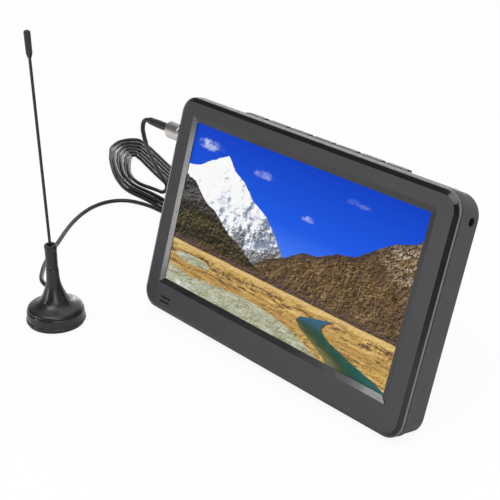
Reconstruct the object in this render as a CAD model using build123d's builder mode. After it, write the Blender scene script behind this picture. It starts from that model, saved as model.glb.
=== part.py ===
"""A small portable television on a fold-out stand, with a magnetic-base aerial to its left.

The origin is the centre of the rubber foot strip's underside, on the floor. +Z is up and
+X is to the right of a watcher who stands on the -Y side. The television leans back, so its
pieces are drawn on a leaning plane: x across, y up the face, z out towards the watcher.
"""
from build123d import *
import math
import os

os.makedirs("parts", exist_ok=True)

# ---------------------------------------------------------------------------
# sizes shared by several pieces
# ---------------------------------------------------------------------------
LEAN = 17.0                  # degrees
SIN, COS = math.sin(math.radians(LEAN)), math.cos(math.radians(LEAN))
FOOT_Z = 6.0                 # how far behind the face the foot strip's middle lies
DROP = 2.4                   # height of the face's lower edge above the floor

# television case
W, H = 184.0, 115.4          # face width and height
CORNER_R = 9.5
DEPTH = 18.0                 # front to back
WALL = 1.8
BEZEL_T = 2.4                # depth of the front frame's edge
STEP_Z = 7.3                 # depth at which the full outline ends
REAR_H = H - 1.8             # the rear section's top is a little lower
# centres of the case screws on the face
BOSS_SPOTS = [(-86.3, 12.5), (86.3, 12.5), (-86.3, 55.8), (86.3, 55.8), (-72.0, 109.5), (72.0, 109.5)]

# screen opening: wide at the face, narrow at the window
OPEN_W, OPEN_H, OPEN_Y = 161.9, 91.7, 60.6
BEVEL = 3.1
VIEW_W, VIEW_H = OPEN_W - 2 * BEVEL, OPEN_H - 2 * BEVEL
RECESS = 1.15                # depth of the ledge for the window
SENSOR_SLOTS = [(-73.3, 8.0), (-73.3, 5.6)]

# keys, from left to right
KEY_NAMES = [
    "power_key", "source_key", "menu_key", "channel_down_key",
    "channel_up_key", "volume_down_key", "volume_up_key",
]
KEY_PITCH, KEY_L, KEY_D = 15.5, 14.1, 5.0
KEY_BACK = 11.1              # distance of the key row behind the face
KEY_SPOTS = [(KEY_PITCH * (number - 3), KEY_BACK) for number in range(len(KEY_NAMES))]

# sockets: height up the face, z
PORT_X = 86                  # the openings are cut outwards from here
HEADPHONE_AT = (103.2, -11.8)
PLUG_AT = (92.6, -10.0)
DC_AT, AV_AT, USB_AT = (74, -11.6), (62, -11.6), (46, -11.6)

SPEAKERS = [(-62, 32), (62, 32)]

# stand
HINGE_Y, HINGE_Z = 86.0, -16.3
POCKET_W, POCKET_TOP, POCKET_FLOOR = 60.4, 88.3, 14.25
PIN_R = 0.8

CABLE_R = 1.25               # aerial lead

# colours
CASE_BLACK = (0.10, 0.10, 0.105)
RUBBER = (0.03, 0.03, 0.03)
AERIAL_BLACK = (0.03, 0.03, 0.035)
JET = (0.02, 0.02, 0.02)
BOARD_GREEN = (0.04, 0.26, 0.12)
STEEL = (0.6, 0.6, 0.62)

# ---------------------------------------------------------------------------
# planes and helpers
# ---------------------------------------------------------------------------
TV = Plane(origin=(0, -FOOT_Z * COS, DROP), x_dir=(1, 0, 0), z_dir=(0, -COS, SIN))
OUT = Axis(TV.origin, TV.z_dir)       # towards the watcher
UP = Axis(TV.origin, TV.y_dir)        # up the face


def spot(x, y, z):
    """World position of a point on the leaning plane."""
    return TV.from_local_coords(Vector(x, y, z))


def behind(distance):
    """Plane parallel to the face, this far behind it."""
    return TV.offset(-distance)


def facing_right(x, y, z):
    """Plane across the set: sketch x runs up the face, z points to +X."""
    return Plane(origin=spot(x, y, z), x_dir=TV.y_dir, z_dir=(1, 0, 0))


def facing_left(x, y, z):
    """Plane across the set: sketch x runs up the face, z points to -X."""
    return Plane(origin=spot(x, y, z), x_dir=TV.y_dir, z_dir=(-1, 0, 0))


def facing_up(y):
    """Plane parallel to the top edge: sketch x across, sketch y towards the back."""
    return Plane(origin=spot(0, y, 0), x_dir=(1, 0, 0), z_dir=TV.y_dir)


def save(made, label, paint):
    """Label, colour and write a finished piece."""
    made.part.label = label
    made.part.color = Color(*paint)
    export_step(made.part, "parts/" + label + ".step")


def save_plate(label, paint, plane, centre, size, amount, corner=0):
    """Make and save a plain rectangular plate, extruded by amount from the plane."""
    with BuildPart() as plate:
        with BuildSketch(plane):
            with Locations(centre):
                if corner:
                    RectangleRounded(*size, corner)
                else:
                    Rectangle(*size)
        extrude(amount=amount)
    save(plate, label, paint)


# ---------------------------------------------------------------------------
# front bezel: a flat frame with a chamfered rim, a bevelled screen opening,
# a tongue that slips inside the housing and six screw posts
# ---------------------------------------------------------------------------
RIM_IN, RIM_DEEP = 2.5, 1.55  # chamfer round the face
RIM_ROUND = 1.2               # rounding where the chamfer meets the edge band
TONGUE_IN = WALL + 0.15       # tongue's outer side, in from the case edge
TONGUE_T = 1.2
TONGUE_DEEP = 2.0
TONGUE_INNER = TONGUE_IN + TONGUE_T
POST_R, POST_L = 2.1, 6.4
PILOT_R = 0.92

with BuildPart() as front_bezel:
    # chamfered rim: the outline grows from the face to the edge band
    with BuildSketch(TV):
        with Locations((0, H / 2)):
            RectangleRounded(W - 2 * RIM_IN, H - 2 * RIM_IN, CORNER_R - RIM_IN)
    with BuildSketch(behind(RIM_DEEP)):
        with Locations((0, H / 2)):
            RectangleRounded(W, H, CORNER_R)
    loft()
    with BuildSketch(behind(RIM_DEEP)):
        with Locations((0, H / 2)):
            RectangleRounded(W, H, CORNER_R)
    extrude(amount=-(BEZEL_T - RIM_DEEP))
    rim_edges = front_bezel.edges().filter_by(
        lambda e: abs(TV.to_local_coords(e.center()).Z + RIM_DEEP) < 0.01
    )
    fillet(rim_edges, RIM_ROUND)
    # tongue
    with BuildSketch(behind(BEZEL_T)):
        with Locations((0, H / 2)):
            RectangleRounded(W - 2 * TONGUE_IN, H - 2 * TONGUE_IN, CORNER_R - TONGUE_IN)
            RectangleRounded(
                W - 2 * TONGUE_INNER, H - 2 * TONGUE_INNER, CORNER_R - WALL - 1.3,
                mode=Mode.SUBTRACT,
            )
    extrude(amount=-TONGUE_DEEP)
    # screw posts
    with BuildSketch(behind(BEZEL_T)):
        with Locations(*BOSS_SPOTS):
            Circle(POST_R)
    extrude(amount=-POST_L)
    # bevelled opening, started just proud of the face for a clean cut
    with BuildSketch(TV.offset(0.001)):
        with Locations((0, OPEN_Y)):
            RectangleRounded(OPEN_W, OPEN_H, 0.9)
    with BuildSketch(behind(0.8)):
        with Locations((0, OPEN_Y)):
            RectangleRounded(VIEW_W, VIEW_H, 0.5)
    loft(mode=Mode.SUBTRACT)
    with BuildSketch(behind(0.7)):
        with Locations((0, OPEN_Y)):
            RectangleRounded(VIEW_W, VIEW_H, 0.5)
    extrude(amount=-3, mode=Mode.SUBTRACT)
    # ledge for the window behind the frame
    with BuildSketch(behind(RECESS)):
        with Locations((0, OPEN_Y)):
            RectangleRounded(VIEW_W + 4.4, VIEW_H + 4.4, 1.0)
    extrude(amount=-3, mode=Mode.SUBTRACT)
    # two short sensor slots, lower left
    with BuildSketch(TV.offset(0.1)):
        with Locations(*SENSOR_SLOTS):
            SlotOverall(7.8, 1.1)
    extrude(amount=-3.5, mode=Mode.SUBTRACT)
    # pilot holes in the screw posts
    with BuildSketch(behind(3.4)):
        with Locations(*BOSS_SPOTS):
            Circle(PILOT_R)
    extrude(amount=-6, mode=Mode.SUBTRACT)
save(front_bezel, "front_bezel", (0.11, 0.11, 0.12))

# ---------------------------------------------------------------------------
# rear housing: a full-size band behind the frame, then a slightly smaller
# rear section whose underside lies parallel to the floor
# ---------------------------------------------------------------------------
FRONT = BEZEL_T + 0.5        # behind the parting groove
SIDE_DROP = 0.4              # the rear section is this much narrower on each side
FOOT_RISE = 2.0              # height up the face of the rear section's underside
BAND_FLOOR_T = 1.4           # left behind the band's hollow
BACK_WALL = 1.7
HOLLOW_RISE = 6.4            # floor of the rear section's hollow
BLOCK_W, BLOCK_H, BLOCK_Y = POCKET_W + 6.4, 87, 47.5
SCREW_SEAT = DEPTH - 2.6     # bottom of the head recesses
notch_in = spot(0, 0.0, -STEP_Z)
notch_out = spot(0, FOOT_RISE, -STEP_Z - 1.4)

with BuildPart() as rear_housing:
    with BuildSketch(behind(STEP_Z)):
        with Locations((0, H / 2)):
            RectangleRounded(W, H, CORNER_R)
    extrude(amount=STEP_Z - FRONT)
    chamfer(rear_housing.edges().group_by(OUT)[0], 0.35)
    with BuildSketch(behind(STEP_Z - 1)):
        with Locations((0, REAR_H / 2)):
            RectangleRounded(W - 2 * SIDE_DROP, REAR_H, CORNER_R + 0.8)
    extrude(amount=-(DEPTH - STEP_Z + 1))
    # underside of the rear section, parallel to the floor
    with BuildSketch(Plane.YZ):
        with BuildLine():
            Polyline(
                (notch_in.Y, notch_in.Z),
                (notch_out.Y, notch_out.Z),
                (notch_out.Y + 40, notch_out.Z),
                (notch_out.Y + 40, notch_out.Z - 12),
                (notch_in.Y, notch_in.Z - 12),
                close=True,
            )
        make_face()
    extrude(amount=W, both=True, mode=Mode.SUBTRACT)
    fillet(rear_housing.edges().group_by(OUT)[0], 2.2)
    # hollow in the band, then in the rear section
    with BuildSketch(behind(FRONT - 0.01)):
        with Locations((0, H / 2)):
            RectangleRounded(W - 2 * WALL, H - 2 * WALL, CORNER_R - WALL)
    extrude(amount=-(STEP_Z - FRONT - BAND_FLOOR_T), mode=Mode.SUBTRACT)
    with BuildSketch(behind(FRONT)):
        with Locations((0, (REAR_H + HOLLOW_RISE - BACK_WALL) / 2)):
            RectangleRounded(
                W - 2 * (SIDE_DROP + BACK_WALL), REAR_H - HOLLOW_RISE - BACK_WALL, CORNER_R - 1.5
            )
    extrude(amount=-(DEPTH - BACK_WALL - FRONT), mode=Mode.SUBTRACT)
    # inner block that carries the stand's recess
    with BuildSketch(behind(12.7)):
        with Locations((0, BLOCK_Y)):
            Rectangle(BLOCK_W, BLOCK_H)
    extrude(amount=-4.2)
    # screw posts
    with BuildSketch(behind(9.0)):
        with Locations(*BOSS_SPOTS):
            Circle(2.6)
    extrude(amount=-7.6)
    # recess for the stand, open at the bottom
    with BuildSketch(behind(POCKET_FLOOR)):
        with Locations((0, POCKET_TOP / 2 - 5)):
            Rectangle(POCKET_W, POCKET_TOP + 10)
    extrude(amount=-8, mode=Mode.SUBTRACT)
    # hinge pin hole
    with BuildSketch(facing_right(0, HINGE_Y, HINGE_Z)):
        Circle(PIN_R + 0.01)
    extrude(amount=POCKET_W / 2 + 2.9, both=True, mode=Mode.SUBTRACT)
    # screw holes with head recesses
    with BuildSketch(behind(8.9)):
        with Locations(*BOSS_SPOTS):
            Circle(1.15)
    extrude(amount=-12, mode=Mode.SUBTRACT)
    with BuildSketch(behind(SCREW_SEAT)):
        with Locations(*BOSS_SPOTS):
            Circle(2.15)
    extrude(amount=-6, mode=Mode.SUBTRACT)
    # sound slots
    with BuildSketch(behind(DEPTH - 3)):
        for centre in SPEAKERS:
            with Locations(centre):
                with GridLocations(3.4, 0, 6, 1):
                    SlotOverall(20, 1.5, rotation=90)
    extrude(amount=-6, mode=Mode.SUBTRACT)
    # cooling slots, high up on either side of the stand
    with BuildSketch(behind(DEPTH - 3)):
        with Locations((-60, 92), (60, 92)):
            with GridLocations(0, 3.2, 1, 3):
                SlotOverall(26, 1.3)
    extrude(amount=-6, mode=Mode.SUBTRACT)
    # shallow blank plate recess in the back
    with BuildSketch(behind(DEPTH - 0.35)):
        with Locations((60, 66)):
            RectangleRounded(42, 24, 2)
    extrude(amount=-3, mode=Mode.SUBTRACT)
    # key openings in the top
    with BuildSketch(facing_up(REAR_H - 4)):
        with Locations(*KEY_SPOTS):
            RectangleRounded(KEY_L + 0.3, KEY_D + 0.3, 1.1)
    extrude(amount=8, mode=Mode.SUBTRACT)
    # earphone opening, right side
    with BuildSketch(facing_right(PORT_X, *HEADPHONE_AT)):
        Circle(2.1)
    extrude(amount=8, mode=Mode.SUBTRACT)
    # left side: aerial, power, AV and USB openings
    with BuildSketch(facing_left(-PORT_X, *PLUG_AT)):
        Circle(5.45)
    extrude(amount=8, mode=Mode.SUBTRACT)
    with BuildSketch(facing_left(-PORT_X, *DC_AT)):
        Circle(2.9)
        with Locations((AV_AT[0] - DC_AT[0], 0)):
            Circle(2.1)
        with Locations((USB_AT[0] - DC_AT[0], 0)):
            RectangleRounded(13.4, 5.6, 0.5)
    extrude(amount=8, mode=Mode.SUBTRACT)
    # groove for the foot strip
    with BuildSketch(Plane.XY.offset(-2)):
        RectangleRounded(124.2, 3.2, 0.8)
    extrude(amount=3.0, mode=Mode.SUBTRACT)
save(rear_housing, "rear_housing", CASE_BLACK)

save_plate("foot_strip", RUBBER, Plane.XY, (0, 0), (124.0, 3.0), 0.98, corner=0.7)

# ---------------------------------------------------------------------------
# screen pieces, front to back
# ---------------------------------------------------------------------------
WINDOW_SIZE = (VIEW_W + 4.0, VIEW_H + 4.0)
LCD_W, LCD_H, LCD_Y = 161.4, 93.0, 60.0
GUIDE_W, GUIDE_H, GUIDE_Y = 160.0, 92.0, 59.4
TRAY_W, TRAY_H, TRAY_Y = 164.9, 100.0, 57.0
TRAY_GAP = 0.5               # extra width and height of the tray's seats

save_plate(
    "screen_window", (0.6, 0.7, 0.75, 0.3), behind(RECESS + 0.02),
    (0, OPEN_Y), WINDOW_SIZE, -0.8, corner=0.8,
)

with BuildPart() as window_tape:
    with BuildSketch(behind(RECESS + 0.83)):
        with Locations((0, OPEN_Y)):
            RectangleRounded(*WINDOW_SIZE, 0.8)
            Rectangle(VIEW_W + 2.8, VIEW_H + 2.8, mode=Mode.SUBTRACT)
    extrude(amount=-0.2)
save(window_tape, "window_tape", JET)

save_plate(
    "lcd_glass", (0.05, 0.07, 0.10), behind(2.46), (0, LCD_Y), (LCD_W, LCD_H), -1.2, corner=0.6
)
save_plate(
    "light_guide", (0.9, 0.9, 0.9), behind(3.72),
    (0, GUIDE_Y), (GUIDE_W, GUIDE_H), -2.8, corner=0.6,
)

with BuildPart() as backlight_tray:
    with BuildSketch(behind(2.6)):
        with Locations((0, TRAY_Y)):
            RectangleRounded(TRAY_W, TRAY_H, 1.2)
    extrude(amount=-4.95)
    # seats for the glass and the light guide
    with BuildSketch(behind(2.5)):
        with Locations((0, LCD_Y)):
            RectangleRounded(LCD_W + TRAY_GAP, LCD_H + TRAY_GAP, 0.7)
    extrude(amount=-1.2, mode=Mode.SUBTRACT)
    with BuildSketch(behind(3.6)):
        with Locations((0, GUIDE_Y)):
            RectangleRounded(GUIDE_W + TRAY_GAP, GUIDE_H + TRAY_GAP, 0.7)
    extrude(amount=-3.0, mode=Mode.SUBTRACT)
save(backlight_tray, "backlight_tray", (0.62, 0.63, 0.65))

# flat ribbon up the back of the tray
save_plate("panel_ribbon", (0.75, 0.45, 0.12), behind(7.66), (20, 52), (26, 60), -0.2)

# ---------------------------------------------------------------------------
# main board and what sits on its back
# ---------------------------------------------------------------------------
BOARD_Z, BOARD_T = 8.0, 1.1
MOUNT_Z = BOARD_Z + BOARD_T + 0.02   # depth at which the board's components start
CONNECTOR_Z = MOUNT_Z + 0.01
BOARD_HOLES = [(-74, 66), (74, 66), (-70, 100.5), (70, 100.5)]
CHIP_AT, CHIP_SIDE = (46, 82), 16
SPREADER_Z, SPREADER_SIDE, SPREADER_T = 10.35, 18, 0.8
CAN_AT, CAN_DEEP = (-58, 84), 3.4
CAPACITORS = [(-36, 96), (-36, 88), (-36, 73), (16, 98), (22, 98), (62, 69)]

with BuildPart() as main_board:
    with BuildSketch(behind(BOARD_Z)):
        with Locations((3, 83.2)):
            RectangleRounded(158, 41.0, 1.5)
        with Locations(*BOARD_HOLES):
            Circle(1.1, mode=Mode.SUBTRACT)
    extrude(amount=-BOARD_T)
save(main_board, "main_board", BOARD_GREEN)

# heads, shanks and cross slots
with BuildPart() as board_screws:
    with BuildSketch(behind(MOUNT_Z)):
        with Locations(*BOARD_HOLES):
            Circle(1.9)
    extrude(amount=-1.1)
    with BuildSketch(behind(9.2)):
        with Locations(*BOARD_HOLES):
            Circle(0.95)
    extrude(amount=1.5)
    with BuildSketch(behind(10.3)):
        with Locations(*BOARD_HOLES):
            Rectangle(2.2, 0.5)
            Rectangle(0.5, 2.2)
    extrude(amount=0.5, mode=Mode.SUBTRACT)
save(board_screws, "board_screws", STEEL)

# tuner can, dimpled on its back
with BuildPart() as tuner_can:
    with BuildSketch(behind(MOUNT_Z)):
        with Locations(CAN_AT):
            RectangleRounded(22, 26, 0.8)
    extrude(amount=-CAN_DEEP)
    with BuildSketch(behind(MOUNT_Z + CAN_DEEP)):
        with Locations(CAN_AT):
            with GridLocations(5, 5, 3, 4):
                Circle(0.7)
    extrude(amount=0.25, mode=Mode.SUBTRACT)
save(tuner_can, "tuner_can", (0.72, 0.72, 0.70))

save_plate("main_chip", RUBBER, behind(MOUNT_Z), CHIP_AT, (CHIP_SIDE, CHIP_SIDE), -1.2)

# flat plate with six fins
with BuildPart() as heat_spreader:
    with BuildSketch(behind(SPREADER_Z)):
        with Locations(CHIP_AT):
            Rectangle(SPREADER_SIDE, SPREADER_SIDE)
    extrude(amount=-SPREADER_T)
    with BuildSketch(behind(SPREADER_Z + SPREADER_T)):
        with Locations(CHIP_AT):
            with GridLocations(0, 3, 1, 6):
                Rectangle(SPREADER_SIDE, 0.9)
    extrude(amount=-2.2)
save(heat_spreader, "heat_spreader", (0.55, 0.56, 0.58))

save_plate("memory_chip", RUBBER, behind(MOUNT_Z), (65, 82), (10, 13), -1.1)

with BuildPart() as board_capacitors:
    with BuildSketch(behind(MOUNT_Z)):
        with Locations(*CAPACITORS):
            Circle(2.0)
    extrude(amount=-3.9)
save(board_capacitors, "board_capacitors", (0.65, 0.66, 0.70))

# ---------------------------------------------------------------------------
# sockets
# ---------------------------------------------------------------------------
JACK_R = 1.8                 # bore of the two 3.5 mm sockets
JACK_NOSE_R = 2.0
JACK_BLOCK = (5.9, 5.0)
PORT_FACE = 89.6             # where the earphone and power blocks end and their noses start
PLUG_R = 4.7
PLUG_BORE_R = PLUG_R + 0.06
USB_BORE = (12.5, 4.7)
DC_BORE_R = 1.75

# earphone jack: a moulded block with a round nose, bored from outside
with BuildPart() as headphone_jack:
    with BuildSketch(facing_right(77.4, *HEADPHONE_AT)):
        Rectangle(*JACK_BLOCK)
    extrude(amount=12.2)
    with BuildSketch(facing_right(PORT_FACE, *HEADPHONE_AT)):
        Circle(JACK_NOSE_R)
    extrude(amount=1.6)
    with BuildSketch(facing_right(91.3, *HEADPHONE_AT)):
        Circle(JACK_R)
    extrude(amount=-11.6, mode=Mode.SUBTRACT)
save(headphone_jack, "headphone_jack", JET)

# aerial socket: a recessed metal cup with a hollow centre contact
with BuildPart() as coax_socket:
    with BuildSketch(facing_left(-82.7, *PLUG_AT)):
        Circle(5.35)
    extrude(amount=9.1)
    with BuildSketch(facing_left(-83.7, *PLUG_AT)):
        Circle(PLUG_BORE_R)
        Circle(1.9, mode=Mode.SUBTRACT)
    extrude(amount=12, mode=Mode.SUBTRACT)
    with BuildSketch(facing_left(-84.4, *PLUG_AT)):
        Circle(1.26)
    extrude(amount=12, mode=Mode.SUBTRACT)
    # the centre contact ends inside the mouth
    with BuildSketch(facing_left(-89.6, *PLUG_AT)):
        Circle(PLUG_BORE_R)
    extrude(amount=6, mode=Mode.SUBTRACT)
save(coax_socket, "coax_socket", (0.75, 0.73, 0.66))

# power socket: block, nose, bore round a centre pin that stops short of the mouth
with BuildPart() as dc_jack:
    with BuildSketch(facing_left(-83.0, *DC_AT)):
        Rectangle(7.6, 4.6)
    extrude(amount=6.6)
    with BuildSketch(facing_left(-PORT_FACE, *DC_AT)):
        Circle(2.8)
    extrude(amount=1.6)
    with BuildSketch(facing_left(-84.4, *DC_AT)):
        Circle(DC_BORE_R)
        Circle(0.65, mode=Mode.SUBTRACT)
    extrude(amount=8, mode=Mode.SUBTRACT)
    with BuildSketch(facing_left(-90.4, *DC_AT)):
        Circle(DC_BORE_R)
    extrude(amount=3, mode=Mode.SUBTRACT)
save(dc_jack, "dc_jack", JET)

# AV socket: the block sits slightly behind the nose's centre
with BuildPart() as av_jack:
    with BuildSketch(facing_left(-79.0, AV_AT[0], -11.8)):
        Rectangle(*JACK_BLOCK)
    extrude(amount=10.8)
    with BuildSketch(facing_left(-89.8, *AV_AT)):
        Circle(JACK_NOSE_R)
    extrude(amount=1.4)
    with BuildSketch(facing_left(-91.3, *AV_AT)):
        Circle(JACK_R)
    extrude(amount=-10.6, mode=Mode.SUBTRACT)
save(av_jack, "av_jack", (0.55, 0.45, 0.05))

# USB socket: a shell with a flat tongue towards the back
with BuildPart() as usb_socket:
    with BuildSketch(facing_left(-79.0, *USB_AT)):
        RectangleRounded(13.1, 5.3, 0.4)
    extrude(amount=12.2)
    with BuildSketch(facing_left(-80.0, *USB_AT)):
        RectangleRounded(*USB_BORE, 0.3)
        with Locations((0, 1.1)):
            Rectangle(11.0, 1.5, mode=Mode.SUBTRACT)
    extrude(amount=14, mode=Mode.SUBTRACT)
    # the tongue stops short of the mouth
    with BuildSketch(facing_left(-90.2, *USB_AT)):
        RectangleRounded(*USB_BORE, 0.3)
    extrude(amount=4, mode=Mode.SUBTRACT)
save(usb_socket, "usb_socket", (0.72, 0.72, 0.72))

# ---------------------------------------------------------------------------
# keys, their board and switches; heights are measured up the face
# ---------------------------------------------------------------------------
KEY_BOARD_Y, KEY_BOARD_T = 104.0, 1.0
POST_BOTTOM, POST_TOP = 106.6, 110.8
FLANGE_BOTTOM, CAP_BOTTOM = 110.6, 111.8

save_plate(
    "key_board", BOARD_GREEN, facing_up(KEY_BOARD_Y),
    (0, 11.8), (116, 7.2), KEY_BOARD_T, corner=0.8,
)

with BuildPart() as key_switches:
    with BuildSketch(facing_up(KEY_BOARD_Y + KEY_BOARD_T + 0.02)):
        with Locations(*KEY_SPOTS):
            RectangleRounded(6.0, 5.8, 0.5)
    extrude(amount=3.4)
    with BuildSketch(facing_up(105.9)):
        with Locations(*KEY_SPOTS):
            Circle(1.68)
    extrude(amount=4, mode=Mode.SUBTRACT)
save(key_switches, "key_switches", (0.05, 0.05, 0.05))

save_plate("key_ribbon", (0.85, 0.85, 0.80), facing_up(103.8), (50, 12.4), (8, 5), 0.15)

for key_name, key_spot in zip(KEY_NAMES, KEY_SPOTS):
    with BuildPart() as key:
        # cap with softened top edges
        with BuildSketch(facing_up(CAP_BOTTOM)):
            with Locations(key_spot):
                RectangleRounded(KEY_L, KEY_D, 1.0)
        extrude(amount=H - CAP_BOTTOM)
        fillet(key.edges().group_by(UP)[-1], 0.7)
        # flange that stops the key from falling out
        with BuildSketch(facing_up(FLANGE_BOTTOM)):
            with Locations(key_spot):
                RectangleRounded(KEY_L + 1.0, KEY_D + 0.9, 0.8)
        extrude(amount=1.25)
        # post that reaches into the switch
        with BuildSketch(facing_up(POST_BOTTOM)):
            with Locations(key_spot):
                Circle(1.6)
        extrude(amount=POST_TOP - POST_BOTTOM)
    save(key, key_name, (0.09, 0.09, 0.095))

# ---------------------------------------------------------------------------
# infra-red window: two slot fillers joined by a thin plate behind the bezel
# ---------------------------------------------------------------------------
IR_SLOT = (7.7, 1.0)

with BuildPart() as ir_window:
    with BuildSketch(behind(0.5)):
        with Locations(*SENSOR_SLOTS):
            SlotOverall(*IR_SLOT)
    extrude(amount=-1.9)
    with BuildSketch(behind(2.42)):
        with Locations((-73.3, 6.5)):
            RectangleRounded(12, 3.8, 0.4)
    extrude(amount=-0.15)
    # bridge the gap between fillers and plate
    with BuildSketch(behind(2.38)):
        with Locations(*SENSOR_SLOTS):
            SlotOverall(*IR_SLOT)
    extrude(amount=-0.1)
save(ir_window, "ir_window", (0.02, 0.01, 0.02))

# ---------------------------------------------------------------------------
# speakers: frame with magnet, cone, gasket; they face the sound slots
# ---------------------------------------------------------------------------
SPEAKER_Z, SPEAKER_R = 15.1, 13.5
FLANGE_T = 1.2
MAGNET_Z = 11.4

for side_name, centre in zip(("left", "right"), SPEAKERS):
    with BuildPart() as speaker:
        with BuildSketch(behind(SPEAKER_Z)):
            with Locations(centre):
                Circle(SPEAKER_R)
        extrude(amount=FLANGE_T)
        # basket narrowing forwards to the magnet
        with BuildSketch(behind(SPEAKER_Z - FLANGE_T)):
            with Locations(centre):
                Circle(12.0)
        with BuildSketch(behind(MAGNET_Z)):
            with Locations(centre):
                Circle(8.0)
        loft()
        with BuildSketch(behind(MAGNET_Z)):
            with Locations(centre):
                Circle(7.0)
        extrude(amount=3.2)
        # dish for the cone
        with BuildSketch(behind(SPEAKER_Z + 0.1)):
            with Locations(centre):
                Circle(11.4)
        extrude(amount=1.3, mode=Mode.SUBTRACT)
    save(speaker, "speaker_" + side_name, (0.25, 0.25, 0.27))

with BuildPart() as speaker_cones:
    for centre in SPEAKERS:
        with BuildSketch(behind(14.9)):
            with Locations(centre):
                Circle(11.2)
        extrude(amount=0.9)
        with BuildSketch(behind(15.3)):
            with Locations(centre):
                Circle(4.0)
        extrude(amount=0.6)
save(speaker_cones, "speaker_cones", (0.08, 0.08, 0.08))

with BuildPart() as speaker_gaskets:
    with BuildSketch(behind(SPEAKER_Z + 0.04)):
        with Locations(*SPEAKERS):
            Circle(SPEAKER_R)
            Circle(12.3, mode=Mode.SUBTRACT)
    extrude(amount=-1.1)
save(speaker_gaskets, "speaker_gaskets", (0.06, 0.06, 0.06))

# ---------------------------------------------------------------------------
# battery and inner wires; each wire ends in a connector block on the board
# ---------------------------------------------------------------------------
# wire centre lines: x, y, z on the leaning plane
BATTERY_WIRE = [
    (30, 56.3, -10.2), (30, 59, -10.5), (26, 62, -11.2), (24, 66, -11.0), (24, 68, -10.2),
]
# right-hand wire; the left one is its mirror image
SPEAKER_WIRE = [(55.0, 43.6, -12.3), (52, 48, -12.0), (50, 55, -11.2), (49.5, 62.3, -10.2)]

with BuildPart() as battery_pack:
    with BuildSketch(behind(7.95)):
        with Locations((0, 33)):
            RectangleRounded(88, 46, 2.0)
    extrude(amount=-4.5)
    fillet(battery_pack.edges().group_by(OUT)[0], 1.2)
save(battery_pack, "battery_pack", (0.45, 0.55, 0.70))

with BuildPart() as battery_lead:
    with BuildLine() as battery_path:
        Spline(*[spot(x, y, z) for x, y, z in BATTERY_WIRE])
    with BuildSketch(battery_path.line ^ 0):
        Circle(0.6)
    sweep()
    with BuildSketch(behind(CONNECTOR_Z)):
        with Locations((24, 70.4)):
            Rectangle(5, 4.4)
    extrude(amount=-2.4)
save(battery_lead, "battery_lead", (0.6, 0.05, 0.05))

with BuildPart() as speaker_leads:
    for side in (-1, 1):
        with BuildLine() as speaker_path:
            Spline(*[spot(side * x, y, z) for x, y, z in SPEAKER_WIRE])
        with BuildSketch(speaker_path.line ^ 0):
            Circle(0.45)
        sweep()
        with BuildSketch(behind(CONNECTOR_Z)):
            with Locations((side * 49.5, 64.6)):
                Rectangle(4, 4.2)
        extrude(amount=-2.0)
save(speaker_leads, "speaker_leads", (0.05, 0.05, 0.05))

# case screws: pan heads in the rear recesses, shanks into the frame's posts
SHANK_BACK, SHANK_FRONT = DEPTH - 2.5, 4.6

with BuildPart() as case_screws:
    with BuildSketch(behind(SCREW_SEAT + 0.02)):
        with Locations(*BOSS_SPOTS):
            Circle(1.95)
    extrude(amount=-1.3)
    chamfer(case_screws.edges().group_by(OUT)[0], 0.35)
    with BuildSketch(behind(SHANK_BACK)):
        with Locations(*BOSS_SPOTS):
            Circle(0.9)
    extrude(amount=SHANK_BACK - SHANK_FRONT)
    with BuildSketch(behind(DEPTH - 1.2)):
        with Locations(*BOSS_SPOTS):
            Rectangle(2.4, 0.5)
            Rectangle(0.5, 2.4)
    extrude(amount=0.8, mode=Mode.SUBTRACT)
save(case_screws, "case_screws", (0.12, 0.12, 0.12))

# ---------------------------------------------------------------------------
# stand: a flat leg on a steel pin, with a rubber sleeve on its foot bar
# ---------------------------------------------------------------------------
LEG_L, LEG_W, LEG_T = 80.5, 59.2, 2.2
LEG_TAPER = 4                # narrowing of each side at the foot
WINDOW_Y = 43                # middle of the leg's opening, from the hinge
SLEEVE_R = 1.5
SLEEVE_SEAT_L = 44

# the leg swings back until its sleeve touches the floor
hinge = spot(0, HINGE_Y, HINGE_Z)
swing = math.acos((hinge.Z - SLEEVE_R) / LEG_L)
leg_dir = Vector(0, math.sin(swing), -math.cos(swing))
LEG = Plane(origin=hinge, x_dir=(1, 0, 0), z_dir=Vector(1, 0, 0).cross(leg_dir))
AXLE = Plane(origin=hinge, x_dir=leg_dir, z_dir=(1, 0, 0))

with BuildPart() as kickstand:
    with BuildSketch(LEG.offset(-LEG_T / 2)):
        with BuildLine():
            Polyline(
                (-LEG_W / 2, 0),
                (LEG_W / 2, 0),
                (LEG_W / 2 - LEG_TAPER, LEG_L),
                (-LEG_W / 2 + LEG_TAPER, LEG_L),
                close=True,
            )
        make_face()
        with Locations((0, WINDOW_Y)):
            RectangleRounded(30, 46, 5, mode=Mode.SUBTRACT)
    extrude(amount=LEG_T)
    # barrel round the pin
    with BuildSketch(AXLE.offset(-LEG_W / 2)):
        Circle(1.7)
    extrude(amount=LEG_W)
    # thin web inside the opening
    with BuildSketch(LEG.offset(-0.5)):
        with Locations((0, WINDOW_Y)):
            Rectangle(32, 48)
    extrude(amount=1.0)
    # foot bar, slimmer where the sleeve sits
    with BuildSketch(AXLE.offset(-LEG_W / 2 + LEG_TAPER)):
        with Locations((LEG_L, 0)):
            Circle(1.4)
    extrude(amount=LEG_W - 2 * LEG_TAPER)
    with BuildSketch(AXLE.offset(-SLEEVE_SEAT_L / 2)):
        with Locations((LEG_L, 0)):
            Circle(2.4)
            Circle(0.9, mode=Mode.SUBTRACT)
    extrude(amount=SLEEVE_SEAT_L, mode=Mode.SUBTRACT)
    # pin hole
    with BuildSketch(AXLE.offset(-LEG_W / 2 - 1)):
        Circle(PIN_R + 0.06)
    extrude(amount=LEG_W + 2, mode=Mode.SUBTRACT)
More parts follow.
